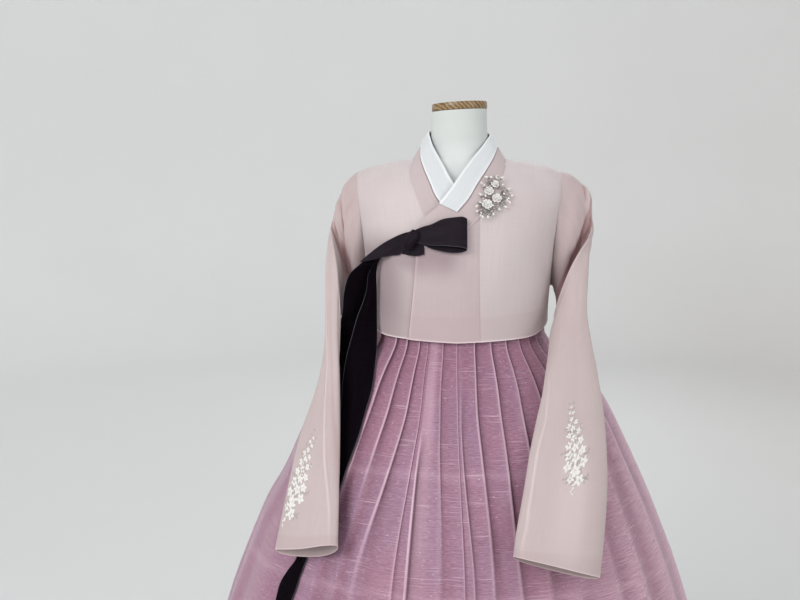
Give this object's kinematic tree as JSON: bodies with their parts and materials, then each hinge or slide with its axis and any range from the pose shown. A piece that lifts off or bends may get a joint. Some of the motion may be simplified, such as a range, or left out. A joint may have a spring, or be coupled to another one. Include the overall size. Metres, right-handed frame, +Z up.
{
  "type": "korean hanbok on limbless dress form",
  "caption": "Korean hanbok, a short jacket with a tied bow over a long pleated skirt, worn by a limbless dress form on a round base.",
  "frame": {"origin": "middle of the bounding box's underside, on the floor under the pole", "axes": "+Z up, -Y to the front, +X to the wearer's left"},
  "size_m": [1.01, 1, 1.4508],
  "materials": {
    "jacket_silk": "fine plain weave, soft sheen",
    "collar_silk": "fine plain weave",
    "collar_strip": "smooth, stiff",
    "skirt_silk": "slubbed shot silk",
    "waistband_cotton": "matte",
    "ribbon_silk": "fine weave",
    "brooch_silver": "polished",
    "form_jersey": "matte jersey",
    "form_wood": "satin",
    "form_metal": "satin"
  },
  "bodies": {
    "root": {"brooch_flower_1": "brooch_silver", "brooch_flower_2": "brooch_silver", "brooch_flower_3": "brooch_silver", "brooch_flower_4": "brooch_silver", "brooch_leaf_1": "brooch_silver", "brooch_leaf_2": "brooch_silver", "brooch_leaf_3": "brooch_silver", "brooch_leaf_4": "brooch_silver", "brooch_side_stem": "brooch_silver", "brooch_stem": "brooch_silver", "chima_skirt": "skirt_silk", "chima_waistband": "waistband_cotton", "form_base": "form_metal", "form_neck_cap": "form_wood", "form_pole": "form_metal", "form_torso": "form_jersey", "goreum_band": "ribbon_silk", "goreum_knot": "ribbon_silk", "goreum_loop": "ribbon_silk", "goreum_tail_long": "ribbon_silk", "goreum_tail_short": "ribbon_silk", "goreum_tongue": "ribbon_silk", "jeogori_body_left": "jacket_silk", "jeogori_body_right": "jacket_silk", "jeogori_dongjeong": "collar_strip", "jeogori_git": "collar_silk", "jeogori_outer_seop": "jacket_silk", "jeogori_sleeve_left": "jacket_silk", "jeogori_sleeve_right": "jacket_silk"}
  },
  "joints": []
}
